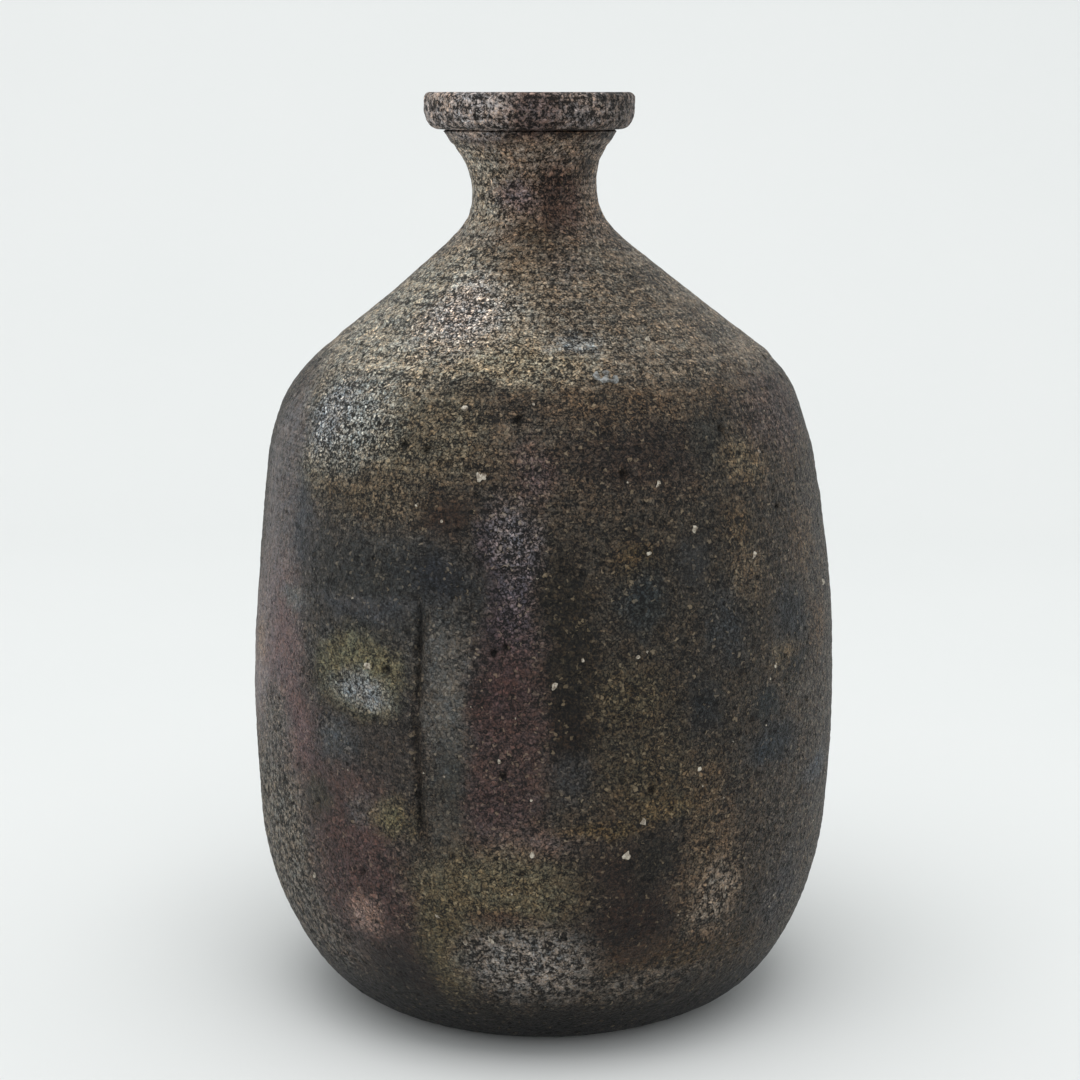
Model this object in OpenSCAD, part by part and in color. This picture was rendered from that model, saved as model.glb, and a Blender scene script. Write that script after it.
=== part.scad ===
// Sake bottle: an unglazed, wood-fired stoneware flask, thrown in rings and joined.
// The origin is the centre of the flat foot, on the surface it stands on, and +Z is up.
// Azimuths are measured about +Z from the front (-Y) towards +X.

/* [Foot] */
// Diameter of the flat face it stands on
foot_d = 48; // [40:1:56]
// Thickness of the foot disc, which is also the floor inside
foot_t = 7; // [5:0.5:9]

/* [Body] */
// Largest diameter of the belly
belly_d = 82.6; // [70:0.2:100]
// Height of the widest point above the foot's face
belly_h = 42; // [35:1:51]
// Height of the upright wall above the widest point
wall_h = 34; // [26:1:42]
// How far the wall leans in, on the radius, by the time it turns to the shoulder
wall_lean = 2.8; // [1:0.1:5]
// Height of the rounded turn from the wall into the shoulder
turn_h = 17; // [14:0.5:21]
// Thickness of the body wall
wall_t = 4.5; // [3.5:0.1:6]

/* [Shoulder] */
// Diameter where the rounded turn meets the straight shoulder
shoulder_d = 58; // [48:1:66]
// Height of the straight shoulder
shoulder_h = 13; // [11:0.5:16]
// Diameter where the shoulder meets the neck
neck_base_d = 26.4; // [24:0.2:30]
// Thickness of the shoulder, square to its slope
shoulder_t = 3.6; // [3:0.1:4.4]

/* [Neck] */
// Narrowest outside diameter of the neck
neck_d = 17; // [15:0.2:20.4]
// Height from the shoulder to the narrowest point
neck_rise_h = 8; // [7:0.5:10]
// Height from the narrowest point to the lip
neck_flare_h = 8; // [7:0.5:10]
// Outside diameter of the neck under the lip
neck_top_d = 23; // [21:0.2:25]
// Diameter of the straight bore through the neck
bore_d = 10.5; // [9:0.1:12.6]
// Length of the straight bore
bore_l = 10; // [8:0.5:12]
// Depth of the turned line round the neck
line_depth = 0.3; // [0.2:0.05:0.5]
// Distance of the turned line below the lip
line_drop = 2.2; // [1.5:0.1:3]

/* [Lip] */
// Outside diameter of the lip
lip_d = 29; // [24:0.2:35]
// Height of the lip
lip_h = 5; // [4:0.2:6]
// Inside diameter of the mouth at the rim
mouth_d = 20; // [17:0.2:22]
// Rounding of the lip's top edges
lip_edge_r = 0.8; // [0.4:0.1:1.2]

/* [Grits] */
// How far a grit's centre lies under the skin, as a share of its radius
grit_sink = 0.3; // [0.1:0.05:0.5]
// Length, width and thickness of the flake fused to the shoulder's edge
flake = [2.4, 1.2, 1]; // [0.5:0.1:4]
// Azimuth of the flake
flake_azimuth = 15; // [-180:1:180]
// Height of the flake below the joint of shoulder and body
flake_drop = 2; // [1.5:0.1:4]

/* [Hidden] */
$fn = 96;

belly_r = belly_d / 2;
wall_top_r = belly_r - wall_lean;
shoulder_r = shoulder_d / 2;
neck_base_r = neck_base_d / 2;
neck_r = neck_d / 2;
neck_top_r = neck_top_d / 2;
bore_r = bore_d / 2;
mouth_r = mouth_d / 2;
lip_r = lip_d / 2;
lip_overhang = lip_r - neck_top_r;

// Heights above the foot's face, each stacked on the one before.
wall_top_z = belly_h + wall_h;
shoulder_z = wall_top_z + turn_h;
neck_base_z = shoulder_z + shoulder_h;
neck_z = neck_base_z + neck_rise_h;
lip_z = neck_z + neck_flare_h;
rim_z = lip_z + lip_h;

// The shoulder's slope, as radius lost for each millimetre of height.
slope = (shoulder_r - neck_base_r) / shoulder_h;
// The shoulder's thickness measured along a radius.
shoulder_run = shoulder_t * sqrt(1 + slope * slope);
bore_z = shoulder_z + (shoulder_r - shoulder_run - bore_r) / slope;
bore_top_z = bore_z + bore_l;

// Feldspar grits: azimuth, height above the foot's face and diameter.
grit_places = [
    [-11, 79.5, 1.5], [2, 53.5, 1.4], [-2, 31.5, 1.1], [18, 35.5, 1.4], [15, 31, 1.3],
    [-10, 19.5, 1.4], [-15, 18.5, 1], [-6, 26, 0.9], [-20, 22, 0.9], [-50, 23.5, 1],
    [23, 78.5, 1.1], [30, 72.5, 1.1], [-34, 54.5, 1], [72, 61, 1.2], [118, 34, 1.3],
    [160, 70, 1.2], [-95, 48, 1.1], [-141, 27, 1.4], [32, 95.5, 1.4], [-64, 98, 1.1],
    [140, 100, 1.2]
];

// A point on a cubic curve with the four control points p.
function bezier(p, t) =
    p[0] * pow(1 - t, 3) + 3 * p[1] * t * pow(1 - t, 2) + 3 * p[2] * t * t * (1 - t) + p[3] * pow(t, 3);
// That curve as count points, without its end, where the next curve starts.
function span(p, count) = [for (i = [0 : count - 1]) bezier(p, i / count)];
// The point of an outline at height z.
function point_at(path, z) = [lookup(z, [for (p = path) [p[1], p[0]]]), z];
// The part of an outline between two heights.
function cut(path, low, high) = concat(
    [point_at(path, low)],
    [for (p = path) if (p[1] > low + 0.01 && p[1] < high - 0.01) p],
    [point_at(path, high)]
);
function backwards(path) = [for (i = [len(path) - 1 : -1 : 0]) path[i]];

// The outside from the foot to the lip, as [radius, height].
outside = concat(
    span([
        [foot_d / 2, 0], [foot_d / 2 + 1.5, 0],
        [belly_r, 0.02 * belly_h], [belly_r, belly_h]
    ], 14),
    span([
        [belly_r, belly_h], [belly_r, belly_h + 0.35 * wall_h],
        [wall_top_r + 0.05 * wall_h, wall_top_z - 0.35 * wall_h], [wall_top_r, wall_top_z]
    ], 6),
    span([
        [wall_top_r, wall_top_z], [wall_top_r - 0.06 * turn_h, wall_top_z + 0.4 * turn_h],
        [shoulder_r + 0.32 * turn_h * slope, shoulder_z - 0.32 * turn_h], [shoulder_r, shoulder_z]
    ], 10),
    [[shoulder_r, shoulder_z]],
    span([
        [neck_base_r, neck_base_z], [neck_base_r - 0.25 * neck_rise_h * slope, neck_base_z + 0.25 * neck_rise_h],
        [neck_r, neck_z - 0.5 * neck_rise_h], [neck_r, neck_z]
    ], 6),
    span([
        [neck_r, neck_z], [neck_r, neck_z + 0.4 * neck_flare_h],
        [neck_top_r - 0.15 * neck_flare_h, lip_z - 0.28 * neck_flare_h], [neck_top_r, lip_z]
    ], 6),
    [[neck_top_r, lip_z]]
);

// The inside from the floor to the rim.
inside = concat(
    span([
        [foot_d / 2, foot_t], [belly_r - 2 * wall_t, foot_t],
        [belly_r - wall_t, 0.4 * belly_h], [belly_r - wall_t, belly_h]
    ], 12),
    span([
        [belly_r - wall_t, belly_h], [belly_r - wall_t, belly_h + 0.35 * wall_h],
        [wall_top_r - wall_t + 0.05 * wall_h, wall_top_z - 0.35 * wall_h], [wall_top_r - wall_t, wall_top_z]
    ], 6),
    span([
        [wall_top_r - wall_t, wall_top_z], [wall_top_r - wall_t - 0.06 * turn_h, wall_top_z + 0.3 * turn_h],
        [shoulder_r - shoulder_run + 0.3 * turn_h * slope, shoulder_z - 0.3 * turn_h],
        [shoulder_r - shoulder_run, shoulder_z]
    ], 8),
    [[shoulder_r - shoulder_run, shoulder_z], [bore_r, bore_z]],
    span([
        [bore_r, bore_top_z], [bore_r, bore_top_z + 2],
        [mouth_r, rim_z - 4], [mouth_r, rim_z - lip_edge_r]
    ], 8),
    [for (a = [0 : 30 : 90]) [mouth_r + lip_edge_r * (1 - cos(a)), rim_z - lip_edge_r * (1 - sin(a))]]
);

// The outside of the lip, from its underside to the rim.
lip_outside = concat(
    span([
        [neck_top_r + 0.25 * lip_overhang, lip_z], [lip_r - 0.1 * lip_overhang, lip_z],
        [lip_r, lip_z + 0.3 * lip_h], [lip_r, lip_z + 0.6 * lip_h]
    ], 6),
    [for (a = [0 : 30 : 90]) [lip_r - lip_edge_r * (1 - cos(a)), rim_z - lip_edge_r * (1 - sin(a))]]
);

// A ring of clay between two outlines and two heights.
module ring(outer, inner, low, high) {
    rotate_extrude()
        polygon(concat(cut(outer, low, high), backwards(cut(inner, low, high))));
}

// Moves to a point under the outside skin, at an azimuth and height.
module under_skin(azimuth, z, depth) {
    rotate([0, 0, azimuth])
        translate([0, depth - point_at(outside, z)[0], z])
            children();
}

// The grits whose bodies reach into a span of heights.
module grits(low, high) {
    for (g = grit_places)
        if (g[1] > low - g[2] && g[1] < high + g[2])
            under_skin(g[0], g[1], grit_sink * g[2] / 2)
                sphere(d = g[2], $fn = 24);
}

module flake_block() {
    under_skin(flake_azimuth, shoulder_z - flake_drop, 0)
        rotate([-atan(1 / slope), 0, 0])
            cube([flake[0], flake[2], flake[1]], center = true);
}

// A ring of the body, with a socket for each grit that sits in it.
module body_ring(low, high) {
    difference() {
        ring(outside, inside, low, high);
        grits(low, high);
    }
}

// Flat disc of clay that the wall stands on
module foot_disc() {
    color([0.27, 0.22, 0.2])
        rotate_extrude()
            polygon(concat([[0, 0]], cut(outside, 0, foot_t), [[0, foot_t]]));
}

// First ring of the body, opening from the disc to the widest point
module lower_wall() {
    color([0.33, 0.25, 0.22])
        body_ring(foot_t, belly_h);
}

// Second ring of the body, nearly upright
module upper_wall() {
    color([0.3, 0.25, 0.22])
        body_ring(belly_h, wall_top_z);
}

// Rounded turn from the wall into the shoulder, with the seat of the flake
module shoulder_turn() {
    color([0.38, 0.32, 0.27])
        difference() {
            body_ring(wall_top_z, shoulder_z);
            flake_block();
        }
}

// Straight sloping shoulder
module shoulder() {
    color([0.5, 0.45, 0.38])
        body_ring(shoulder_z, neck_base_z);
}

// Waisted neck with the bore, and one turned line round it
module neck() {
    line_z = lip_z - line_drop;
    line_r = point_at(outside, line_z)[0];
    color([0.42, 0.36, 0.3])
        difference() {
            ring(outside, inside, neck_base_z, lip_z);
            rotate_extrude()
                polygon([
                    [line_r - line_depth, line_z],
                    [line_r + 1, line_z - 0.8],
                    [line_r + 1, line_z + 0.8]
                ]);
        }
}

// Rolled lip on top of the neck
module lip_ring() {
    color([0.5, 0.46, 0.45])
        ring(lip_outside, inside, lip_z, rim_z);
}

// Grains of feldspar that stand out of the clay, each in its own socket
module feldspar_grits() {
    color([0.85, 0.82, 0.76])
        grits(0, rim_z);
}

// Chip of kiln shelf fused to the shoulder's edge
module kiln_flake() {
    color([0.6, 0.6, 0.58])
        flake_block();
}

foot_disc();
lower_wall();
upper_wall();
shoulder_turn();
shoulder();
neck();
lip_ring();
feldspar_grits();
kiln_flake();
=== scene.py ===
# A wood-fired stoneware sake bottle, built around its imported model.
import math
import random

import bpy
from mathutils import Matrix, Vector


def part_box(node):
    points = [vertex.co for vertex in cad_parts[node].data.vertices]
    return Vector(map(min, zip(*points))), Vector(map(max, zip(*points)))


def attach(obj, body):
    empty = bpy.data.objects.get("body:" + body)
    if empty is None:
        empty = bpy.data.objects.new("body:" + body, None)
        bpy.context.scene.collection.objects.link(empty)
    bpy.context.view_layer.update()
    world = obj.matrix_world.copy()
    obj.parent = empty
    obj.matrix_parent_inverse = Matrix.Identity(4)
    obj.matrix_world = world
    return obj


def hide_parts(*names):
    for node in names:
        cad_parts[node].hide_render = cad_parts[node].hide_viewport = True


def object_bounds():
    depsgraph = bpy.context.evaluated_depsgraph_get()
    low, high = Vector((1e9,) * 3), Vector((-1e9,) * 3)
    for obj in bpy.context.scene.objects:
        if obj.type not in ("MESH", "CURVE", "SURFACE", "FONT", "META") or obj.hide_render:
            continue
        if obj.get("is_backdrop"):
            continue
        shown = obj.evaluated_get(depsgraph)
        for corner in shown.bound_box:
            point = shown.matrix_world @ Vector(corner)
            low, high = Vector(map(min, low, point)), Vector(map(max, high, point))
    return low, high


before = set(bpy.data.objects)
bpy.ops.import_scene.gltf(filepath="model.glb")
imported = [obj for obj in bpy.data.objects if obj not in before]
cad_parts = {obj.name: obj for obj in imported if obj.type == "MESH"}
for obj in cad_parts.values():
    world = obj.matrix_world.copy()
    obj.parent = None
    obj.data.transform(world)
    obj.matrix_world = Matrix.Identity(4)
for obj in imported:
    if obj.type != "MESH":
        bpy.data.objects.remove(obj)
cad_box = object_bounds()

# ---------------------------------------------------------------------------------------------
# The tabletop and its backdrop: one pale sheet that lies flat, curves up and stands behind.
# Matt paper, lit by a broad lamp overhead and by the white room around it.

MM = 0.001


def mesh_object(name, points, faces):
    mesh = bpy.data.meshes.new(name)
    mesh.from_pydata(points, [], faces)
    mesh.update()
    piece = bpy.data.objects.new(name, mesh)
    bpy.context.scene.collection.objects.link(piece)
    return piece


class Wire:
    """A node's output socket that Python's operators build Math nodes on."""

    def __init__(self, tree, socket):
        self.tree = tree
        self.socket = socket

    def add(self, kind, inputs=None, settings=None, out=0):
        """A new node in the same tree: its settings first, then its sockets by name or index."""
        return new_node(self.tree, kind, inputs, settings, out)

    def math(self, operation, *others, clamp=False):
        values = dict(enumerate((self,) + others))
        return self.add("ShaderNodeMath", values, {"operation": operation, "use_clamp": clamp})

    def __add__(self, other):
        return self.math("ADD", other)

    __radd__ = __add__

    def __mul__(self, other):
        return self.math("MULTIPLY", other)

    __rmul__ = __mul__

    def __sub__(self, other):
        return self.math("SUBTRACT", other)

    def __rsub__(self, other):
        return self.add("ShaderNodeMath", {0: other, 1: self}, {"operation": "SUBTRACT"})

    def __truediv__(self, other):
        return self.math("DIVIDE", other)

    def smooth(self, low, high):
        """Rises smoothly from 0 at low to 1 at high, or falls if low is above high."""
        return self.add(
            "ShaderNodeMapRange",
            {"Value": self, "From Min": min(low, high), "From Max": max(low, high),
             "To Min": float(low > high), "To Max": float(low < high)},
            {"interpolation_type": "SMOOTHSTEP"},
        )

    def bump_at(self, centre, half_width):
        """1 at the centre, falling smoothly to 0 at half_width on either side."""
        return (self - centre).math("ABSOLUTE").smooth(half_width, 0.0)

    def between(self, low, high, soft):
        """1 between two values, fading out over soft on either side."""
        return self.smooth(low - soft, low + soft) * self.smooth(high + soft, high - soft)

    def mix(self, colour, amount):
        """This colour with another laid over it by amount."""
        return self.add("ShaderNodeMix", {0: amount, 6: self, 7: colour},
                        {"data_type": "RGBA"}, out=2)

    def part(self, index):
        """One number of a vector."""
        return self.add("ShaderNodeSeparateXYZ", {0: self}, out=index)


def new_node(tree, kind, inputs=None, settings=None, out=0):
    node = tree.nodes.new(kind)
    for name, value in (settings or {}).items():
        setattr(node, name, value)
    for key, value in (inputs or {}).items():
        if isinstance(value, Wire):
            tree.links.new(value.socket, node.inputs[key])
        else:
            node.inputs[key].default_value = value
    return Wire(tree, node.outputs[out])


def hue(red, green, blue):
    """A colour as the eye names it (0 to 255), turned into linear light."""
    def linear(c):
        c = c / 255
        return c / 12.92 if c <= 0.04045 else ((c + 0.055) / 1.055) ** 2.4
    return (linear(red), linear(green), linear(blue), 1.0)


def new_material(name):
    material = bpy.data.materials.new(name)
    material.use_nodes = True
    tree = material.node_tree
    tree.nodes.clear()
    shader = tree.nodes.new("ShaderNodeBsdfPrincipled")
    output = tree.nodes.new("ShaderNodeOutputMaterial")
    tree.links.new(shader.outputs[0], output.inputs["Surface"])
    return material, tree, shader


SHEET_HALF_WIDTH = 1.4
SHEET_FRONT = -0.9
SHEET_BEND_START = 0.32
SHEET_BEND_RADIUS = 0.3
SHEET_HEIGHT = 1.2
BEND_STEPS = 24

sheet_line = [(SHEET_FRONT, 0.0)]
for step in range(BEND_STEPS + 1):
    turn = math.pi / 2 * step / BEND_STEPS
    sheet_line.append((SHEET_BEND_START + SHEET_BEND_RADIUS * math.sin(turn),
                       SHEET_BEND_RADIUS * (1 - math.cos(turn))))
sheet_line.append((SHEET_BEND_START + SHEET_BEND_RADIUS, SHEET_HEIGHT))
sheet_points = [(side * SHEET_HALF_WIDTH, y, z) for y, z in sheet_line for side in (-1, 1)]
sheet_faces = [(2 * i, 2 * i + 1, 2 * i + 3, 2 * i + 2) for i in range(len(sheet_line) - 1)]
sheet = mesh_object("paper_sheet", sheet_points, sheet_faces)
for face in sheet.data.polygons:
    face.use_smooth = True
paper, paper_tree, paper_shader = new_material("matt_paper")
grain = new_node(paper_tree, "ShaderNodeTexNoise",
                 {"Vector": new_node(paper_tree, "ShaderNodeTexCoord", out=3), "Scale": 9.0})
paper_colour = new_node(paper_tree, "ShaderNodeMix",
                        {0: grain, 6: hue(228, 230, 229), 7: hue(232, 233, 232)},
                        {"data_type": "RGBA"}, out=2)
paper_tree.links.new(paper_colour.socket, paper_shader.inputs["Base Color"])
paper_shader.inputs["Roughness"].default_value = 0.85
paper_shader.inputs["Specular IOR Level"].default_value = 0.2
sheet.data.materials.append(paper)
sheet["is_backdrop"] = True

world = bpy.data.worlds.new("white_room")
bpy.context.scene.world = world
world.use_nodes = True
world.node_tree.nodes["Background"].inputs["Color"].default_value = (0.97, 0.99, 1.0, 1.0)
world.node_tree.nodes["Background"].inputs["Strength"].default_value = 0.84


def soft_lamp(name, place, aim, size, power):
    light = bpy.data.lights.new(name, "AREA")
    light.shape = "RECTANGLE"
    light.size, light.size_y = size
    light.energy = power
    lamp = bpy.data.objects.new(name, light)
    bpy.context.scene.collection.objects.link(lamp)
    lamp.location = place
    lamp.rotation_euler = (aim - lamp.location).to_track_quat("-Z", "Y").to_euler()
    return lamp


low, high = cad_box
middle = (low + high) / 2
soft_lamp("overhead_lamp", (-0.04, -0.2, 0.95), middle, (0.8, 0.6), 3.9)

# ---------------------------------------------------------------------------------------------
# The camera stands at the rim's height, a little over thirty centimetres away, tilted down.

CAMERA_DISTANCE = 0.3133
CAMERA_TILT = math.radians(11.31)
CAMERA_SIDE = -0.0004
LENS = 74.67

camera_data = bpy.data.cameras.new("camera")
camera_data.lens = LENS
camera_data.sensor_width = 36.0
camera_data.clip_start = 0.01
camera = bpy.data.objects.new("camera", camera_data)
bpy.context.scene.collection.objects.link(camera)
camera.location = (CAMERA_SIDE, -CAMERA_DISTANCE, high.z)
camera.rotation_euler = (math.pi / 2 - CAMERA_TILT, 0.0, 0.0)
bpy.context.scene.camera = camera
bpy.context.scene.view_settings.view_transform = "Standard"

# ---------------------------------------------------------------------------------------------
# The body: a flat disc of coarse stoneware for a foot, and one wall that is drawn in to the
# shoulder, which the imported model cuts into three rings. Pressed and scraped while soft, and
# fired without glaze in a wood kiln, so that flame and ash colour it unevenly.


def heights(node):
    """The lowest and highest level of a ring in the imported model, in millimetres."""
    bottom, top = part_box(node)
    return bottom.z / MM, top.z / MM


foot_top = heights("foot_disc")[1]
belly_z, wall_top_z = heights("upper_wall")
shoulder_z, neck_base_z = heights("shoulder")
lip_z, rim_z = heights("lip_ring")
belly_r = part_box("upper_wall")[1].x / MM
foot_r = 24.0
wall_lean = 2.8
wall_top_r = belly_r - wall_lean
shoulder_r = 29.0
neck_base_r = 13.2
neck_r = 8.5
neck_top_r = 11.5
lip_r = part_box("lip_ring")[1].x / MM
bore_r = 5.25
bore_top_z = 117.88
mouth_r = 10.0
rim_round = 0.8
WALL = 4.5
slope = (shoulder_r - neck_base_r) / (neck_base_z - shoulder_z)
SHOULDER_WALL = 3.6
shoulder_run = SHOULDER_WALL * math.sqrt(1 + slope * slope)
bore_z = shoulder_z + (shoulder_r - shoulder_run - bore_r) / slope
neck_z = (neck_base_z + lip_z) / 2


def sweep(controls, count=60):
    """Points of a cubic curve through four control points of radius and height."""
    p = controls
    points = []
    for i in range(count):
        t = i / (count - 1)
        u = 1 - t
        points.append(tuple(u ** 3 * p[0][k] + 3 * t * u * u * p[1][k]
                            + 3 * t * t * u * p[2][k] + t ** 3 * p[3][k] for k in (0, 1)))
    return points


wall_h = wall_top_z - belly_z
turn_h = shoulder_z - wall_top_z
rise = neck_z - neck_base_z
flare = lip_z - neck_z
outside = (
    sweep([(foot_r, 0), (foot_r + 1.5, 0), (belly_r, 0.02 * belly_z), (belly_r, belly_z)], 160)
    + sweep([(belly_r, belly_z), (belly_r, belly_z + 0.35 * wall_h),
             (wall_top_r + 0.05 * wall_h, wall_top_z - 0.35 * wall_h), (wall_top_r, wall_top_z)])
    + sweep([(wall_top_r, wall_top_z), (wall_top_r - 0.06 * turn_h, wall_top_z + 0.4 * turn_h),
             (shoulder_r + 0.32 * turn_h * slope, shoulder_z - 0.32 * turn_h),
             (shoulder_r, shoulder_z)])
    + [(neck_base_r, neck_base_z)]
    + sweep([(neck_base_r, neck_base_z),
             (neck_base_r - 0.25 * rise * slope, neck_base_z + 0.25 * rise),
             (neck_r, neck_z - 0.5 * rise), (neck_r, neck_z)])
    + sweep([(neck_r, neck_z), (neck_r, neck_z + 0.4 * flare),
             (neck_top_r - 0.15 * flare, lip_z - 0.28 * flare), (neck_top_r, lip_z)])
)
inside = (
    sweep([(foot_r, foot_top), (belly_r - 2 * WALL, foot_top),
           (belly_r - WALL, 0.4 * belly_z), (belly_r - WALL, belly_z)])
    + sweep([(belly_r - WALL, belly_z), (belly_r - WALL, belly_z + 0.35 * wall_h),
             (wall_top_r - WALL + 0.05 * wall_h, wall_top_z - 0.35 * wall_h),
             (wall_top_r - WALL, wall_top_z)])
    + sweep([(wall_top_r - WALL, wall_top_z),
             (wall_top_r - WALL - 0.06 * turn_h, wall_top_z + 0.3 * turn_h),
             (shoulder_r - shoulder_run + 0.3 * turn_h * slope, shoulder_z - 0.3 * turn_h),
             (shoulder_r - shoulder_run, shoulder_z)])
    + [(bore_r, bore_z)]
    + sweep([(bore_r, bore_top_z), (bore_r, bore_top_z + 2), (mouth_r, rim_z - 4),
             (mouth_r, rim_z - rim_round)])
)


def radius_at(line, z):
    """The radius of an outline at a height."""
    for (r0, z0), (r1, z1) in zip(line, line[1:]):
        if z0 <= z <= z1 and z1 > z0:
            return r0 + (r1 - r0) * (z - z0) / (z1 - z0)
    return line[0][0] if z < line[0][1] else line[-1][0]


def span(line, bottom, top):
    """The part of an outline between two heights."""
    kept = [p for p in line if bottom + 0.02 < p[1] < top - 0.02]
    return [(radius_at(line, bottom), bottom)] + kept + [(radius_at(line, top), top)]


def even_steps(line, step):
    """The same line with its points spread evenly, about a step apart."""
    lengths = [0.0]
    for a, b in zip(line, line[1:]):
        lengths.append(lengths[-1] + math.dist(a, b))
    count = max(2, round(lengths[-1] / step) + 1)
    points = []
    k = 0
    for i in range(count):
        want = lengths[-1] * i / (count - 1)
        while k < len(line) - 2 and lengths[k + 1] < want:
            k += 1
        share = (want - lengths[k]) / max(lengths[k + 1] - lengths[k], 1e-9)
        points.append(tuple(line[k][j] + share * (line[k + 1][j] - line[k][j]) for j in (0, 1)))
    return points


SKIN_STEP = 0.42
INSIDE_STEP = 1.6
STEPS_ROUND = 620
NECK_STEPS_ROUND = 310
NECK_SKIN_STEP = 0.3
LIP_STEPS_ROUND = 400
LIP_SKIN_STEP = 0.25


def section_line(name, outer, inner, skin_step):
    """A ring's closed section as a mesh line, with how far each point takes part in the skin."""
    skin = even_steps(outer, skin_step)
    lining = even_steps(inner[::-1], INSIDE_STEP)
    across_top = even_steps([outer[-1], inner[-1]], INSIDE_STEP)[1:-1]
    across_bottom = even_steps([inner[0], outer[0]], INSIDE_STEP)[1:]
    points = skin + across_top + lining + across_bottom
    weights = [1.0] * len(skin)
    weights += [1.0 - (i + 1) / (len(across_top) + 1) for i in range(len(across_top))]
    weights += [0.0] * len(lining)
    weights += [(i + 1) / len(across_bottom) for i in range(len(across_bottom))]
    mesh = bpy.data.meshes.new(name)
    edges = [(i, i + 1) for i in range(len(points) - 1)]
    mesh.from_pydata([(r, 0.0, z) for r, z in points], edges, [])
    mesh.attributes.new("skin", "FLOAT", "POINT").data.foreach_set("value", weights)
    line = bpy.data.objects.new(name, mesh)
    bpy.context.scene.collection.objects.link(line)
    return line


def new_tree(name, inputs):
    """A Geometry Nodes tree with these named inputs, as (name, kind, default)."""
    tree = bpy.data.node_groups.new(name, "GeometryNodeTree")
    tree.interface.new_socket("Geometry", in_out="INPUT", socket_type="NodeSocketGeometry")
    for label, kind, default in inputs:
        socket = tree.interface.new_socket(label, in_out="INPUT", socket_type="NodeSocket" + kind)
        if default is not None:
            socket.default_value = default
    tree.interface.new_socket("Geometry", in_out="OUTPUT", socket_type="NodeSocketGeometry")
    entry = tree.nodes.new("NodeGroupInput")
    leave = tree.nodes.new("NodeGroupOutput")
    return tree, {s.name: Wire(tree, s) for s in entry.outputs if s.name}, leave


def grow(piece, tree, values):
    """Runs a tree on a piece and keeps the result as its plain mesh."""
    modifier = piece.modifiers.new(tree.name, "NODES")
    modifier.node_group = tree
    for item in tree.interface.items_tree:
        if item.in_out == "INPUT" and item.name in values:
            modifier[item.identifier] = values[item.name]
    piece.update_tag()
    bpy.context.view_layer.update()
    seen = piece.evaluated_get(bpy.context.evaluated_depsgraph_get())
    mesh = bpy.data.meshes.new_from_object(seen)
    piece.modifiers.clear()
    piece.data = mesh
    mesh.name = piece.name
    return piece


# How far the bottle's middle line wanders sideways on its way up, as height and shift.
LEAN = [(0, 0.2), (60, 0.1), (85, -0.4), (100, -0.3), (106, -0.75), (114, -1.25), (120, -1.75),
        (127, -1.8)]


def level_at(levels, z):
    """The value at a height, on straight lines between pairs of height and value."""
    for (z0, s0), (z1, s1) in zip(levels, levels[1:]):
        if z <= z1:
            return s0 + (s1 - s0) * max(z - z0, 0) / (z1 - z0)
    return levels[-1][1]


CREASE_AT = -23.5
PITS = [(-30, 54.3, 0.75), (-6.8, 58.6, 0.6), (-9, 57.9, 0.55), (-7.4, 42, 0.65), (19.5, 39.5, 0.6),
        (-28, 83, 0.75), (-23, 82.7, 0.65), (-4.5, 86.5, 0.75), (-36, 26.5, 0.6), (-47, 34.5, 0.55),
        (-23.6, 57.6, 0.6), (16, 80, 0.65), (40, 84.5, 0.6), (53, 73.5, 0.6), (75, 91.5, 0.55),
        (128, 62, 0.65), (-120, 71, 0.7), (170, 33, 0.6)]


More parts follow.
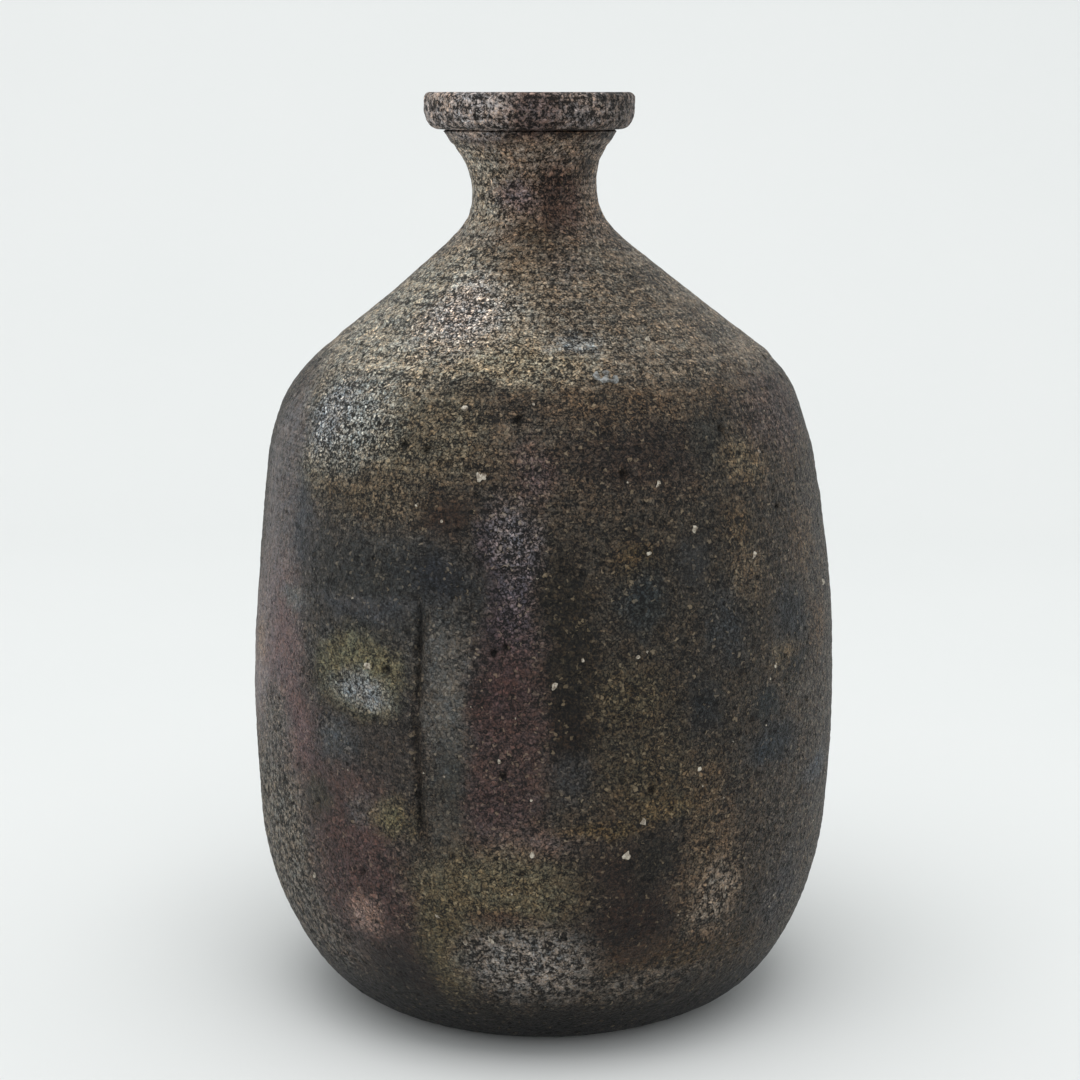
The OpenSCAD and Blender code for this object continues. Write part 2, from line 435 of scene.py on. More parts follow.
# What flame and ash did, and the painted shade at the foot: azimuth and height of a stain's middle,
# its half width in degrees and half height in millimetres, how soft its edge is, the tone it shows
# in soft daylight, and how strongly fine grains, coarse crust and dark specks show in it. Later stains lie
# over earlier.
ROUND = 2000.0
SMOOTH = (0.55, 0.15, 0.5)
SATIN = (0.8, 0.3, 0.6)
SANDY = (1.0, 0.45, 0.7)
CRUSTED = (0.95, 0.65, 0.65)
COARSE = (0.8, 1.35, 0.7)
FROSTED = (1.5, 0.5, 0.3)
STAINS_AND_SHADE = [
    (0, 60, ROUND, ROUND, 0.1, (68, 62, 56), SANDY),
    # The back, which the flame reached from the other side.
    (180, 58, 46, 34, 0.4, (74, 60, 52), SATIN),
    (150, 40, 22, 26, 0.4, (60, 52, 47), SMOOTH),
    (-150, 62, 26, 22, 0.4, (92, 84, 68), SANDY),
    (-165, 30, 24, 14, 0.3, (66, 54, 52), SMOOTH),
    (-118, 50, 20, 34, 0.4, (86, 80, 75), CRUSTED),
    (-125, 78, 22, 9, 0.3, (110, 102, 88), SANDY),
    (118, 66, 18, 20, 0.5, (80, 71, 60), SANDY),
    (112, 28, 16, 18, 0.4, (92, 86, 80), CRUSTED),
    (172, 74, 18, 8, 0.4, (58, 54, 54), SMOOTH),
    (-178, 50, 9, 7, 0.3, (98, 92, 70), SATIN),
    (142, 18, 20, 7, 0.5, (78, 65, 53), SANDY),
    (-100, 24, 16, 14, 0.4, (84, 78, 72), COARSE),
    # The right side, khaki and olive over dark clay.
    (68, 45, 20, 40, 0.4, (80, 74, 68), CRUSTED),
    (28, 62, 22, 22, 0.4, (62, 57, 51), SANDY),
    (16, 45, 11, 9, 0.5, (68, 61, 52), SANDY),
    (15, 52, 6, 3.5, 0.6, (76, 68, 55), SANDY),
    (20, 41, 7, 4, 0.6, (74, 66, 54), SANDY),
    (42, 66, 5, 4, 0.5, (86, 76, 64), SANDY),
    (40, 72, 4, 3, 0.5, (80, 69, 56), SANDY),
    (17, 69, 4, 2.5, 0.5, (80, 68, 52), SANDY),
    (62, 68, 5, 3.5, 0.5, (88, 76, 64), CRUSTED),
    (66, 56, 5, 3.5, 0.5, (94, 80, 66), CRUSTED),
    (52, 54, 4, 3, 0.5, (84, 74, 60), SANDY),
    (30, 48.5, 3.6, 6, 0.5, (46, 47, 48), SANDY),
    (35.5, 60, 4, 4.5, 0.5, (56, 57, 58), SANDY),
    (18.5, 64, 4.5, 4, 0.5, (49, 52, 53), SANDY),
    (54, 59, 5, 3.5, 0.45, (54, 56, 58), SANDY),
    (47, 42.5, 7, 2.6, 0.4, (52, 56, 60), SANDY),
    (45.5, 48, 3.4, 2.2, 0.4, (46, 49, 50), SATIN),
    (55, 52, 3.4, 1.6, 0.4, (44, 45, 45), SANDY),
    (29, 68, 3.4, 4, 0.45, (50, 50, 50), SATIN),
    (66, 36, 6, 2, 0.5, (72, 76, 82), CRUSTED),
    (54, 20, 6, 6, 0.5, (66, 64, 64), CRUSTED),
    # Ash streaks and a burnt patch low on the right.
    (33, 26, 7, 9.5, 0.4, (92, 79, 66), CRUSTED),
    (34.5, 23, 4.5, 4, 0.5, (116, 106, 96), COARSE),
    (30, 37, 4, 7, 0.5, (84, 73, 60), SANDY),
    (15, 26, 9.5, 8, 0.5, (50, 42, 38), SATIN),
    (17.5, 20.5, 6, 4, 0.5, (42, 35, 32), SATIN),
    (20.5, 29.5, 4, 3.5, 0.6, (48, 45, 41), SANDY),
    (27, 15, 20, 2.9, 0.5, (68, 57, 45), SANDY),
    (18, 16.5, 6, 2, 0.6, (56, 45, 38), SMOOTH),
    (11, 34.8, 7.5, 1.0, 0.5, (92, 78, 58), SANDY),
    (22, 37, 5.5, 1.6, 0.5, (88, 76, 58), SANDY),
    # The dark column and the plum column beside it.
    (4.5, 56, 5, 15, 0.3, (47, 43, 38), SANDY),
    (4.5, 47, 3.5, 4, 0.6, (44, 38, 34), SANDY),
    (5, 41.5, 4, 2.6, 0.6, (60, 59, 59), SATIN),
    (-7, 47, 7.6, 18, 0.3, (70, 58, 56), SATIN),
    (-8, 54, 6, 6, 0.6, (66, 52, 51), SATIN),
    (-10, 37, 6, 4, 0.6, (72, 59, 58), SATIN),
    (-4, 33, 8, 2.4, 0.5, (86, 74, 70), SATIN),
    (-8, 69, 3.4, 8, 0.4, (60, 48, 56), SMOOTH),
    (-5, 66.5, 3.6, 7, 0.6, (76, 69, 74), FROSTED),
    (-5.5, 73.5, 4.6, 5.5, 0.6, (92, 87, 89), FROSTED),
    # The left side: charcoal, mauve, and ash that melted where it lay.
    (-36, 62, 22, 18, 0.3, (70, 67, 64), SATIN),
    (-34, 45, 13, 9, 0.4, (62, 57, 54), SATIN),
    (-31, 65, 20, 6.5, 0.4, (54, 54, 53), SATIN),
    (-20, 67, 6, 3.6, 0.5, (44, 45, 48), SATIN),
    (-36, 62.5, 12, 1.4, 0.6, (64, 64, 66), SMOOTH),
    (-18, 76, 6.5, 3.6, 0.4, (48, 40, 36), SATIN),
    (-64, 74, 12.5, 15, 0.3, (86, 81, 81), SMOOTH),
    (-53, 73, 5, 8, 0.4, (66, 66, 68), SMOOTH),
    (-68, 50, 14, 14, 0.4, (112, 100, 99), SMOOTH),
    (-60, 51, 7, 12, 0.4, (98, 82, 82), SMOOTH),
    (-54, 42, 8, 8, 0.4, (90, 73, 73), SMOOTH),
    (-42, 33, 15, 7.5, 0.35, (74, 61, 59), SMOOTH),
    (-39, 22, 13, 13, 0.3, (74, 59, 57), SATIN),
    (-35, 13, 9, 5, 0.5, (52, 43, 40), SMOOTH),
    (-73, 53, 4.5, 2.6, 0.6, (122, 104, 92), SATIN),
    (-67, 25, 17, 15.5, 0.3, (106, 101, 94), COARSE),
    (-63, 43, 7, 5, 0.5, (102, 97, 92), CRUSTED),
    (-56, 13, 14, 6.5, 0.5, (92, 87, 82), COARSE),
    (-42, 44, 4, 2.6, 0.6, (74, 76, 78), SMOOTH),
    (-56, 61, 4.5, 1.6, 0.4, (92, 92, 92), SMOOTH),
    (-36, 20.2, 3.8, 2.4, 0.6, (124, 104, 96), SATIN),
    (-36.5, 35, 3.5, 2.6, 0.4, (82, 76, 74), SATIN),
    (-48, 35, 4, 2.6, 0.4, (58, 54, 48), SMOOTH),
    (-28.5, 34.5, 4.2, 2.6, 0.55, (98, 91, 70), SATIN),
    (-35.5, 53.2, 9.5, 5.2, 0.3, (86, 83, 68), SATIN),
    (-36, 53.2, 8, 4.2, 0.4, (98, 94, 75), SATIN),
    (-35.5, 51.2, 5.8, 2.1, 0.5, (122, 124, 125), SATIN),
    (-18, 51, 3.2, 9, 0.6, (86, 84, 81), SMOOTH),
    (-17, 42, 3, 4, 0.6, (60, 61, 60), SMOOTH),
    (-18, 35, 3, 5, 0.6, (70, 66, 61), SMOOTH),
    # Olive ash and a coarse grey splash at the front of the foot.
    (-9, 26, 15, 5.6, 0.3, (92, 84, 68), SATIN),
    (-19, 17, 5, 9, 0.4, (84, 76, 60), SATIN),
    (-8, 22.4, 5, 1.2, 0.6, (76, 60, 50), SATIN),
    (12, 11, 20, 2.2, 0.5, (86, 80, 74), COARSE),
    (-3, 15.6, 11.5, 5.2, 0.4, (112, 107, 103), COARSE),
    (-30, 10, 8, 7, 0.4, (36, 32, 29), SMOOTH),
    # Darker towards the bottom: the foot's dark clay, with painted contact shade laid into it.
    (0, 4, ROUND, 5.2, 0.5, (40, 37, 34), SATIN),
    (0, -1, ROUND, 8.5, 0.4, (13, 12, 11), SATIN),
    # The turn of the shoulder.
    (20, 84, 60, 8, 0.3, (72, 64, 56), SANDY),
    (20, 82, 16, 4, 0.4, (54, 47, 43), SANDY),
    (38, 83, 6, 5, 0.5, (56, 54, 50), SANDY),
    (62, 86, 14, 5, 0.4, (84, 74, 70), CRUSTED),
    (44, 80, 5, 2.4, 0.5, (94, 82, 66), SANDY),
    (10, 89, 34, 2.4, 0.5, (84, 72, 60), SANDY),
    (-8, 86, 12, 4, 0.5, (78, 70, 62), SANDY),
    (-1, 80.5, 4, 3, 0.5, (80, 68, 66), SANDY),
    (-44, 85, 19, 8.5, 0.3, (114, 107, 92), SANDY),
    (-36, 77, 12, 4, 0.45, (86, 77, 65), SANDY),
    (-20, 85, 9, 5, 0.5, (94, 86, 73), SANDY),
    (-46, 86, 13, 6.2, 0.4, (132, 132, 128), FROSTED),
    (-50, 86, 6, 4, 0.4, (132, 134, 136), FROSTED),
    (-64, 82, 8, 5, 0.4, (88, 84, 84), SMOOTH),
    # The shoulder, which caught the most ash, and the neck above it.
    (0, 100, ROUND, 8.6, 0.14, (112, 103, 92), CRUSTED),
    (44, 98, 24, 7, 0.4, (104, 95, 84), SANDY),
    (-46, 98, 38, 8.2, 0.25, (150, 144, 132), CRUSTED),
    (-10, 93.4, 20, 2.2, 0.5, (140, 130, 112), CRUSTED),
    (-27, 98.5, 14, 4, 0.5, (156, 148, 143), FROSTED),
    (8, 104.5, 18, 2, 0.4, (94, 88, 83), CRUSTED),
    (-8, 104, 14, 2.4, 0.6, (106, 95, 82), SANDY),
    (9, 95.2, 6, 0.7, 0.6, (126, 128, 128), CRUSTED),
    (160, 99, 40, 6, 0.4, (112, 104, 92), CRUSTED),
    (0, 115, ROUND, 7.6, 0.2, (96, 85, 76), CRUSTED),
    (-58, 114, 34, 7, 0.3, (120, 113, 103), CRUSTED),
    (4, 108.5, 20, 2.4, 0.5, (76, 66, 56), SANDY),
    (-18, 113.5, 22, 2, 0.5, (94, 82, 80), SANDY),
    (24, 113, 24, 4.6, 0.35, (64, 52, 47), SANDY),
    (55, 117, 12, 1.4, 0.5, (50, 44, 40), SANDY),
    (0, 121.6, ROUND, 0.9, 0.5, (52, 42, 36), SANDY),
    # The lip, thickly spotted with pale mauve ash.
    (0, 125.5, ROUND, 3.2, 0.12, (98, 90, 87), COARSE),
    (-50, 125, 44, 4, 0.3, (124, 116, 113), COARSE),
    (2, 124.5, 14, 4, 0.4, (76, 66, 64), COARSE),
    (60, 124.5, 16, 4, 0.4, (76, 70, 67), COARSE),
]

# What a stain's tone is divided by at each height, as height and share, because light doesn't
# reach the skin evenly. Rounded from the light measured on a plain grey bottle, then lowered.
# Rounded from a plain grey test render of the bottle, then lowered by hand.
DAYLIGHT = [(0, 0.65), (12, 0.95), (40, 1.05), (70, 1.04), (80, 0.92), (88, 1.0), (102, 0.9),
            (108, 0.78), (113, 0.58), (118, 0.5), (124, 0.66), (127, 0.7)]
SHEEN_LIGHT = 0.012
DARKEST = 0.003
# The colour of the painted shade in the crease and the pits.
PAINTED_CREASE_SHADE = hue(22, 20, 18)


def paint_for(tone, z):
    """The colour painted on the clay where it shows this tone at this height, stain or painted shade alike.
    """
    light = level_at(DAYLIGHT, z)
    return tuple(max(c / light - SHEEN_LIGHT, DARKEST) for c in hue(*tone)[:3]) + (1.0,)


# Stains past this azimuth are drawn on a chart whose middle is the back.
BACK_FROM = 95
# How wide a stain's edge fades for its softness, and the least of its middle that stays whole.
FADE_WIDTH = 1.4
NARROWEST_CORE = 0.02
WELD_DISTANCE = 0.002 * MM
SHARP_BEND = math.radians(62.0)


def potters_wheel():
    """Turns a section into a ring, then gives its skin the marks of hand and kiln, and painted shade."""
    tree, given, leave = new_tree("potters_wheel", [
        ("Steps Round", "Int", STEPS_ROUND), ("Clay", "Material", None),
    ])
    section = given["Geometry"]
    rows = new_node(tree, "GeometryNodeAttributeDomainSize", {0: section})
    grid = tree.nodes.new("GeometryNodeMeshGrid")
    tree.links.new((given["Steps Round"] + 1).socket, grid.inputs["Vertices X"])
    tree.links.new(rows.socket, grid.inputs["Vertices Y"])
    number = new_node(tree, "GeometryNodeInputIndex")
    column = (number / rows).math("FLOOR")
    row = number - column * rows

    def of_section(field, kind):
        return new_node(tree, "GeometryNodeSampleIndex", {0: section, 1: field, 2: row},
                        {"data_type": kind, "domain": "POINT"})

    place = of_section(new_node(tree, "GeometryNodeInputPosition"), "FLOAT_VECTOR")
    skin = of_section(new_node(tree, "GeometryNodeInputNamedAttribute", {"Name": "skin"},
                               {"data_type": "FLOAT"}), "FLOAT")
    radius, z = place.part(0), place.part(2)
    # Degrees round from the front; the last column lies on the first.
    azimuth = column / given["Steps Round"] * 360.0 - 180.0
    turn = azimuth * (math.pi / 180.0)
    east, north = turn.math("SINE"), turn.math("COSINE")

    def point(r):
        return new_node(tree, "ShaderNodeCombineXYZ", {0: r * east, 1: r * north * -1.0, 2: z})

    clay_point = point(radius)

    def lumps(size, detail=2.0, stretch=(1.0, 1.0, 1.0), seed=0.0):
        """Rises and hollows of about this size in millimetres, between about -1 and 1."""
        spread = clay_point.add("ShaderNodeVectorMath",
                                {0: clay_point, 1: tuple(s / size for s in stretch)},
                                {"operation": "MULTIPLY"})
        noise = clay_point.add("ShaderNodeTexNoise",
                               {"Vector": spread, "W": seed, "Scale": 1.0, "Detail": detail},
                               {"noise_dimensions": "4D"})
        return (noise - 0.5) * 3.0

    # Slow swelling left by the hands, and the wandering grooves of the fingers.
    shape = lumps(34.0, 1.0, seed=3.1) * 0.28
    shape = shape + lumps(5.5, 1.0, (0.05, 0.05, 1.0), 7.7) * 0.10
    shape = shape + lumps(1.7, 1.0, (0.02, 0.02, 1.0), 2.2) * 0.045 * z.smooth(60.0, 78.0)
    # A flat pressed with a paddle, ending in a sharp crease.
    flat = (azimuth - (CREASE_AT - 11.0)).math("ABSOLUTE").smooth(15.0, 1.0)
    flat = flat * z.between(36.0, 62.0, 12.0)
    shape = shape - flat * 0.55
    crease_line = azimuth - (z.smooth(38.0, 26.0) * 3.0 + CREASE_AT) + lumps(9.0, 2.0, seed=6.6) * 0.5
    crease = crease_line.smooth(-0.5, 0.1) * crease_line.smooth(1.9, 0.2)
    crease = crease * z.between(32.0, 64.0, 3.5)
    shape = shape - crease * 0.6
    # The joint of shoulder and body: a faint ledge that runs downhill to the right.
    joint = z - (94.2 - (azimuth + 10.0).smooth(0.0, 80.0) * 2.6 + lumps(14.0, 1.0, seed=5.0) * 0.3)
    shape = shape + joint.bump_at(0.0, 0.9) * 0.16 - joint.bump_at(-1.4, 1.1) * 0.12
    # Turned lines: on the turn of the shoulder, on the wall, and round the neck.
    shape = shape - (z - 80.3).bump_at(0.0, 0.45) * azimuth.between(-47.0, -14.0, 6.0) * 0.16
    shape = shape - (z - 47.5).bump_at(0.0, 0.5) * azimuth.between(-46.0, -26.0, 5.0) * 0.14
    shape = shape - (z - (lip_z - 2.2)).bump_at(0.0, 0.45) * 0.14
    # A fuller turn under the joint, most of all on the right, and a fuller foot.
    shape = shape + (z - 91.0).bump_at(0.0, 9.0) * (east * 0.35 + 0.5)
    shape = shape + (z - 20.0).bump_at(0.0, 14.0) * (0.5 - east * 0.1)
    # Painted shade along the crease and, further on, in the pits.
    shade = crease_line.bump_at(0.25, 0.8) * z.between(32.0, 64.0, 5.0)
    shade = (shade * (lumps(5.0, 2.0, seed=4.4) + 0.6)).math("MAXIMUM", 0.0)
    # A neck that spreads a little further just where the lip sits on it.
    shape = shape + z.smooth(117.5, 121.2) * z.smooth(lip_z, lip_z - 0.15) * 0.5
    for azimuth_at, z_at, size in PITS:
        run = radius_at(outside, z_at) * math.pi / 180.0
        across = (azimuth - float(azimuth_at)) * run
        reach = (across * across + (z - z_at) * (z - z_at)).math("SQRT")
        shape = shape - reach.smooth(size * 1.1, size * 0.35) * size * 0.8
        shade = shade.math("MAXIMUM", reach.smooth(size * 1.2, size * 0.5) * 0.9)
    # The bite of coarse clay and ash.
    bite = lumps(3.4, 2.0, seed=1.3) * 0.05 + lumps(0.95, 2.0, seed=9.4) * 0.12
    shape = shape + bite

    # The stains and the painted shade, laid on the skin's points so that the glaze-free clay can read them.
    drift = clay_point.add(
        "ShaderNodeTexNoise",
        {"Vector": clay_point, "Scale": 0.13, "Detail": 4.0, "Roughness": 0.6}, out=1)
    ragged = clay_point.add(
        "ShaderNodeTexNoise",
        {"Vector": clay_point, "Scale": 0.75, "Detail": 2.0, "Roughness": 0.7}, out=1)

    def chart(degrees):
        """Azimuth and height as a flat sheet, pulled about so that no stain has a clean edge."""
        flat_place = z.add("ShaderNodeCombineXYZ", {0: degrees, 1: z})
        for noise, pull in ((drift, (8.0, 5.0, 0.0)), (ragged, (5.0, 3.5, 0.0))):
            noise = noise.add("ShaderNodeVectorMath", {0: noise, 1: (0.5, 0.5, 0.5)},
                              {"operation": "SUBTRACT"})
            flat_place = noise.add("ShaderNodeVectorMath", {0: noise, 1: pull, 2: flat_place},
                                   {"operation": "MULTIPLY_ADD"})
        return flat_place

    front = chart(azimuth)
    back = chart((azimuth + 180.0).math("WRAP", 180.0, -180.0))
    colour = body = None
    for azimuth_at, z_at, half_width, half_height, soft, tone, texture in STAINS_AND_SHADE:
        here = front
        if abs(azimuth_at) > BACK_FROM:
            here = back
            azimuth_at = azimuth_at - math.copysign(180, azimuth_at)
        scale = (1 / half_width, 1 / half_height, 0.0)
        shift_to = (-azimuth_at * scale[0], -z_at * scale[1], 0.0)
        reach = here.add("ShaderNodeVectorMath", {0: here, 1: scale, 2: shift_to},
                         {"operation": "MULTIPLY_ADD"})
        reach = reach.add("ShaderNodeVectorMath", {0: reach}, {"operation": "LENGTH"}, out=1)
        fade = soft * FADE_WIDTH
        cover = reach.smooth(1 + fade, max(1 - fade, NARROWEST_CORE))
        paint, weave = paint_for(tone, z_at), texture + (1.0,)
        if colour is None:
            colour = z.add("FunctionNodeInputColor", settings={"value": paint})
            body = z.add("FunctionNodeInputColor", settings={"value": weave})
        colour = colour.mix(paint, cover)
        body = body.mix(weave, cover)
    # Painted shade laid over the stains along the crease and in the pits.
    colour = colour.mix(PAINTED_CREASE_SHADE, shade)

    # The middle line wanders, and the foot stands flat whatever the skin does.
    shift = z * 0.0 + LEAN[0][1]
    for (z0, s0), (z1, s1) in zip(LEAN, LEAN[1:]):
        shift = shift + z.add("ShaderNodeMapRange",
                              {"Value": z, "From Min": float(z0), "From Max": float(z1),
                               "To Min": 0.0, "To Max": s1 - s0})
    moved = point(radius + shape * skin * z.smooth(0.0, 1.2))
    moved = moved.add("ShaderNodeVectorMath",
                      {0: moved, 1: moved.add("ShaderNodeCombineXYZ", {0: shift})}, {"operation": "ADD"})
    moved = moved.add("ShaderNodeVectorMath", {0: moved, "Scale": MM}, {"operation": "SCALE"})
    ring = new_node(tree, "GeometryNodeSetPosition", {0: Wire(tree, grid.outputs[0]), 2: moved})
    for label, field in (("stain_and_shade", colour), ("weave", body)):
        ring = new_node(tree, "GeometryNodeStoreNamedAttribute", {0: ring, "Name": label, "Value": field},
                        {"data_type": "FLOAT_COLOR", "domain": "POINT"})
    ring = new_node(tree, "GeometryNodeMergeByDistance", {0: ring, "Distance": WELD_DISTANCE})
    ring = new_node(tree, "GeometryNodeSetShadeSmooth", {0: ring, "Shade Smooth": True}, {"domain": "FACE"})
    bend = new_node(tree, "GeometryNodeInputMeshEdgeAngle")
    ring = new_node(tree, "GeometryNodeSetShadeSmooth",
                    {0: ring, 1: bend.math("GREATER_THAN", SHARP_BEND), "Shade Smooth": False},
                    {"domain": "EDGE"})
    ring = new_node(tree, "GeometryNodeRealizeInstances", {0: ring})
    ring = new_node(tree, "GeometryNodeSetMaterial", {0: ring, "Material": given["Clay"]})
    tree.links.new(ring.socket, leave.inputs[0])
    return tree


wheel = potters_wheel()


def thrown(name, outer, inner, steps=STEPS_ROUND, skin_step=SKIN_STEP):
    """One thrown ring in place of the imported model's solid of the same name."""
    ring = section_line(name + "_clay", outer, inner, skin_step)
    grow(ring, wheel, {"Steps Round": steps, "Clay": fired_clay})
    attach(ring, "root")
    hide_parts(name)
    return ring


def millimetres(tree):
    """The place on a piece, in millimetres from the middle of the foot."""
    spot = new_node(tree, "ShaderNodeTexCoord", out=3)
    return spot.add("ShaderNodeVectorMath", {0: spot, "Scale": 1 / MM}, {"operation": "SCALE"})


def grains(spot, size, detail=2.0, roughness=0.5, seed=0.0, stretch=(1.0, 1.0, 1.0)):
    """Cloudy noise whose features are about this many millimetres across, from 0 to 1."""
    spread = spot.add("ShaderNodeVectorMath",
                      {0: spot, 1: tuple(s / size for s in stretch), 2: (seed * 7.3, seed, -seed)},
                      {"operation": "MULTIPLY_ADD"})
    return spot.add("ShaderNodeTexNoise",
                    {"Vector": spread, "Scale": 1.0, "Detail": detail, "Roughness": roughness})


def dots(spot, spacing, size, seed):
    """Round specks of about this size in millimetres, as 1 on a speck and 0 between."""
    spread = spot.add("ShaderNodeVectorMath",
                      {0: spot, 1: (1 / spacing,) * 3, 2: (seed, -seed, seed * 3.7)},
                      {"operation": "MULTIPLY_ADD"})
    near = spot.add("ShaderNodeTexVoronoi", {"Vector": spread, "Scale": 1.0})
    return near.smooth(size / spacing * 0.62, size / spacing * 0.4)


def cells(spot, size):
    """Packed grains of about this size in millimetres: distance from a grain's middle, its tint."""
    spread = spot.add("ShaderNodeVectorMath", {0: spot, "Scale": 1 / size}, {"operation": "SCALE"})
    tone = spot.add("ShaderNodeTexVoronoi", {"Vector": spread, "Scale": 1.0}, out=1)
    return Wire(spot.tree, tone.socket.node.outputs[0]), tone


def coarse_stoneware(name):
    """Unglazed clay under fly ash, reading the stains, painted shade and grain stored on the skin."""
    material, tree, shader = new_material(name)
    spot = millimetres(tree)
    colour = new_node(tree, "ShaderNodeAttribute", settings={"attribute_name": "stain_and_shade"})
    body = new_node(tree, "ShaderNodeAttribute", settings={"attribute_name": "weave"})
    fine_share, crust_share, speck_share = body.part(0), body.part(1), body.part(2)

    # Grains of sand and ash: each its own tone, with painted shade in the gaps between them.
    jostle = spot.add("ShaderNodeTexNoise", {"Vector": spot, "Scale": 1.6, "Detail": 1.0}, out=1)
    jostled = spot.add("ShaderNodeVectorMath", {0: jostle, 1: (0.9, 0.9, 0.9), 2: spot},
                       {"operation": "MULTIPLY_ADD"})
    cell, tone = cells(jostled, 0.34)
    pale = tone.part(0).smooth(0.78, 1.0)
    missing = tone.part(2).smooth(0.28, 0.12)
    gap_shade = cell.smooth(0.34, 0.62)
    fuzz = grains(spot, 0.26, 2.0, 0.8, seed=8.0) - 0.5
    fine = pale * 1.9 - missing * 0.8 - gap_shade * 1.2 + fuzz * 4.2 + 0.4
    crust = grains(spot, 0.95, 3.0, 0.7, seed=2.0).smooth(0.44, 0.56)
    specks = dots(jostled, 1.4, 0.5, 4.0).math("MAXIMUM", dots(jostled, 3.6, 0.95, 5.0))
    lines = (grains(spot, 0.5, 2.0, 0.6, 3.0, (0.03, 0.03, 1.0)) - 0.5) * 3.0
    lines = lines * (spot.part(2).smooth(66.0, 80.0) * 0.75 + 0.15)
    mottle = grains(spot, 4.5, 5.0, 0.75, seed=12.0) - 0.5
    value = fine * fine_share + (crust - 0.5) * crust_share * 1.2 + lines + mottle * 1.6 + 1.15
    value = value.math("MAXIMUM", 0.08) * (1.0 - specks * speck_share * 0.85)
    cloud = grains(spot, 2.6, 4.0, 0.7, seed=6.0).smooth(0.36, 0.64)
    warm_or_cool = spot.add("ShaderNodeMix",
                            {0: cloud * 0.4 + tone.part(1) * 0.6,
                             6: (1.15, 0.98, 0.80, 1.0), 7: (0.87, 1.01, 1.12, 1.0)},
                            {"data_type": "RGBA"}, out=2)
    colour = colour.add("ShaderNodeVectorMath", {0: colour, 1: warm_or_cool}, {"operation": "MULTIPLY"})
    colour = colour.add("ShaderNodeVectorMath", {0: colour, "Scale": value}, {"operation": "SCALE"})
    colour = colour.mix(hue(150, 132, 104), pale * fine_share * tone.part(1).smooth(0.55, 0.95) * 0.5)
    tree.links.new(colour.socket, shader.inputs["Base Color"])

    roughness = crust_share * 0.18 + specks * 0.2 + missing * 0.1 + 0.38
    tree.links.new(roughness.socket, shader.inputs["Roughness"])
    shader.inputs["Specular IOR Level"].default_value = 0.25
    relief = fine * 0.07 + crust * 0.2 - specks * 0.4 + lines * 0.1
    bump = new_node(tree, "ShaderNodeBump",
                    {"Height": relief, "Distance": MM,
                     "Strength": (crust_share * 0.5 + fine_share * 0.7).math("MINIMUM", 1.0)})
    tree.links.new(bump.socket, shader.inputs["Normal"])
    return material


fired_clay = coarse_stoneware("fired_clay")
thrown("foot_disc", span(outside, 0, foot_top), [(0.0, 0.0), (0.0, foot_top)])
lower_wall = thrown("lower_wall", span(outside, foot_top, belly_z),
                    span(inside, foot_top, belly_z))
upper_wall = thrown("upper_wall", span(outside, belly_z, wall_top_z),
                    span(inside, belly_z, wall_top_z))
shoulder_turn = thrown("shoulder_turn", span(outside, wall_top_z, shoulder_z),
                       span(inside, wall_top_z, shoulder_z))

# ---------------------------------------------------------------------------------------------
# The shoulder and neck: a straight cone of clay that leaves a faint ledge where it meets the
# body, and a waisted neck on it with a straight bore and one turned line below the lip.

shoulder = thrown("shoulder", span(outside, shoulder_z, neck_base_z),
                  span(inside, shoulder_z, neck_base_z))
thrown("neck", span(outside, neck_base_z, lip_z), span(inside, neck_base_z, lip_z),
       steps=NECK_STEPS_ROUND, skin_step=NECK_SKIN_STEP)

# ---------------------------------------------------------------------------------------------
# The lip: a rolled ring of clay that hangs out over the neck, its underside turned up into its
# side, and both edges of the rim rounded.


def rounded_edge(r, inwards):
    """The quarter turn at the rim, from a side at radius r to the top."""
    return [(r + inwards * rim_round * (1 - math.cos(a)), rim_z - rim_round * (1 - math.sin(a)))
            for a in (math.radians(degrees) for degrees in range(0, 91, 15))]


overhang = lip_r - neck_top_r
lip_h = rim_z - lip_z
lip_outer = sweep([(neck_top_r + 0.3 * overhang, lip_z), (lip_r - 0.3 * overhang, lip_z),
                   (lip_r, lip_z + 0.2 * lip_h), (lip_r, lip_z + 0.62 * lip_h)])
lip_outer += rounded_edge(lip_r, -1)
lip_inner = span(inside, lip_z, rim_z - rim_round) + rounded_edge(mouth_r, 1)
thrown("lip_ring", lip_outer, lip_inner, steps=LIP_STEPS_ROUND,
       skin_step=LIP_SKIN_STEP)

# ---------------------------------------------------------------------------------------------
# Feldspar grits: chips of white stone in the clay that stand out of the skin where they baked,
# each sunk part of the way into it, with a scatter of sand-sized ones between them.

SEATED_GRITS = [
    (-11, 79.5, 1.5), (2, 53.5, 1.4), (-2, 31.5, 1.1), (18, 35.5, 1.4), (15, 31, 1.3),
    (-10, 19.5, 1.4), (-15, 18.5, 1.0), (-6, 26, 0.9), (-20, 22, 0.9), (-50, 23.5, 1.0),
    (23, 78.5, 1.1), (30, 72.5, 1.1), (-34, 54.5, 1.0), (72, 61, 1.2), (118, 34, 1.3),
    (160, 70, 1.2), (-95, 48, 1.1), (-141, 27, 1.4), (32, 95.5, 1.4), (-64, 98, 1.1),
    (140, 100, 1.2),
]
SMALL_GRITS = [
    (-16, 88, 0.9), (-24, 76, 0.7), (-19, 74, 0.6), (44, 68, 0.9), (50, 81, 0.8),
    (-61, 74.5, 0.9), (19, 57.5, 0.7), (7, 57, 0.7), (48, 53, 0.8), (-8, 44, 0.7),
    (-22, 41.5, 0.6), (-18, 41.5, 0.6), (-5, 49.5, 0.5), (-39, 40, 0.5), (29, 41.5, 0.7),
    (36, 24, 0.8), (17, 57, 0.5), (20, 70, 0.6), (-38, 63, 0.5), (12, 24, 0.4),
]
SCATTERED = 90

